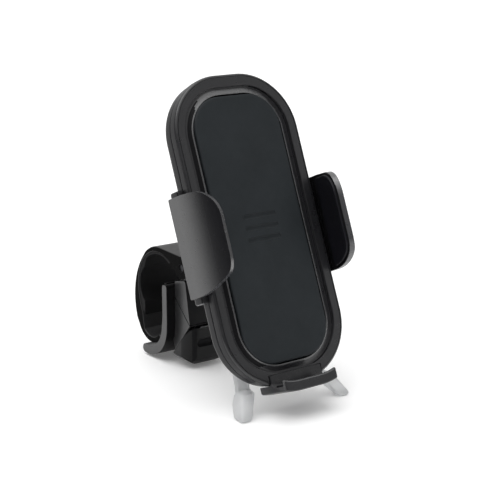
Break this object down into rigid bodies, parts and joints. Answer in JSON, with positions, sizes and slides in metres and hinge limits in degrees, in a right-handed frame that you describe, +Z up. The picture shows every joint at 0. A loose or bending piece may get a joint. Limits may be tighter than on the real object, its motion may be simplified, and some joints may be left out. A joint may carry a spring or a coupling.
{
  "type": "phone mount",
  "caption": "Handlebar phone mount: a leaning oval cradle with two spring jaws and a bottom ledge, on a ball joint above a hinged strap clamp with a release lever.",
  "frame": {"origin": "middle of the handlebar clamp, on the handlebar's axis", "axes": "+X along the handlebar, to the right as seen from the cradle's front; +Y away from the rider's view of the cradle, to the back of the clamp; +Z up"},
  "size_m": [0.0744, 0.1209, 0.1368],
  "materials": {
    "case_plastic": "satin",
    "front_plastic": "satin",
    "strap_plastic": "finely textured",
    "gear_plastic": "smooth",
    "pad_rubber": "matt",
    "liner_rubber": "matt",
    "ball_metal": "smooth",
    "steel": "plain",
    "spring_steel": "drawn wire",
    "frosted": "frosted"
  },
  "bodies": {
    "clamp": {"clamp_base": "case_plastic", "hook_liner": "liner_rubber", "joint_block": "case_plastic", "block_screws": "steel", "hinge_pin": "steel", "lever_pin": "steel", "lever_spring": "spring_steel"},
    "strap": {"clamp_arm": "strap_plastic", "arm_liner": "liner_rubber"},
    "lever": {"release_lever": "strap_plastic"},
    "collar": {"collar_nut": "case_plastic"},
    "seat": {"ball_seat": "case_plastic"},
    "ball": {"ball_stud": "ball_metal"},
    "cradle": {"back_shell": "case_plastic", "front_bezel": "front_plastic", "face_pad": "pad_rubber", "case_screws": "steel", "swivel_ring": "case_plastic", "swivel_washer": "liner_rubber", "ring_screws": "steel", "pinion_axle": "steel", "pinion_spring": "spring_steel", "button_spring": "spring_steel", "left_rest_foot": "frosted", "right_rest_foot": "frosted"},
    "gear": {"pinion": "gear_plastic"},
    "jaw_left": {"left_jaw": "front_plastic", "left_jaw_pad": "pad_rubber"},
    "jaw_right": {"right_jaw": "front_plastic", "right_jaw_pad": "pad_rubber"},
    "button": {"release_button": "strap_plastic"},
    "ledge": {"bottom_ledge": "front_plastic", "ledge_pad": "pad_rubber"}
  },
  "joints": [
    {"name": "arm_hinge", "type": "hinge", "parent": "clamp", "child": "strap", "pos_m": [0, -0.025, 0.0149], "axis": [1, 0, 0], "range_deg": [0, 45]},
    {"name": "lever_hinge", "type": "hinge", "parent": "clamp", "child": "lever", "pos_m": [0, -0.0238, -0.0156], "axis": [-1, 0, 0], "range_deg": [0, 10], "stiffness_Nm_per_rad": 0.15, "springref_deg": -14.32},
    {"name": "collar_turn", "type": "hinge", "parent": "clamp", "child": "collar", "pos_m": [0, -0.04245, 0.03024], "axis": [0, -0.9232, 0.3843], "range_deg": [0, 270]},
    {"name": "seat_turn", "type": "hinge", "parent": "clamp", "child": "seat", "pos_m": [0, -0.04245, 0.03024], "axis": [0, -0.9232, 0.3843], "continuous": true},
    {"name": "ball_tilt", "type": "hinge", "parent": "seat", "child": "ball", "pos_m": [0, -0.04245, 0.03024], "axis": [1, 0, 0], "range_deg": [-20, 20]},
    {"name": "cradle_swivel", "type": "hinge", "parent": "ball", "child": "cradle", "pos_m": [0, -0.0683, 0.041], "axis": [0, -0.9232, 0.3843], "continuous": true},
    {"name": "right_jaw_slide", "type": "slide", "parent": "cradle", "child": "jaw_right", "axis": [1, 0, 0], "range_m": [0, 0.0125]},
    {"name": "left_jaw_slide", "type": "slide", "parent": "cradle", "child": "jaw_left", "axis": [-1, 0, 0], "range_m": [0, 0.0125]},
    {"name": "pinion_spin", "type": "hinge", "parent": "cradle", "child": "gear", "pos_m": [0, -0.06262, 0.03539], "axis": [0, -0.9232, 0.3843], "range_deg": [0, 119.5]},
    {"name": "button_slide", "type": "slide", "parent": "cradle", "child": "button", "axis": [0, -0.3843, -0.9232], "range_m": [0, 0.0025], "stiffness_N_per_m": 120, "springref_m": -0.004, "deforming": ["button_spring"]},
    {"name": "ledge_slide", "type": "slide", "parent": "cradle", "child": "ledge", "axis": [0, -0.3843, -0.9232], "range_m": [0, 0.012]}
  ],
  "couplings": [
    {"joint": "left_jaw_slide", "follows": "right_jaw_slide", "ratio": 1},
    {"joint": "pinion_spin", "follows": "right_jaw_slide", "rad_per_m": 166.67}
  ]
}
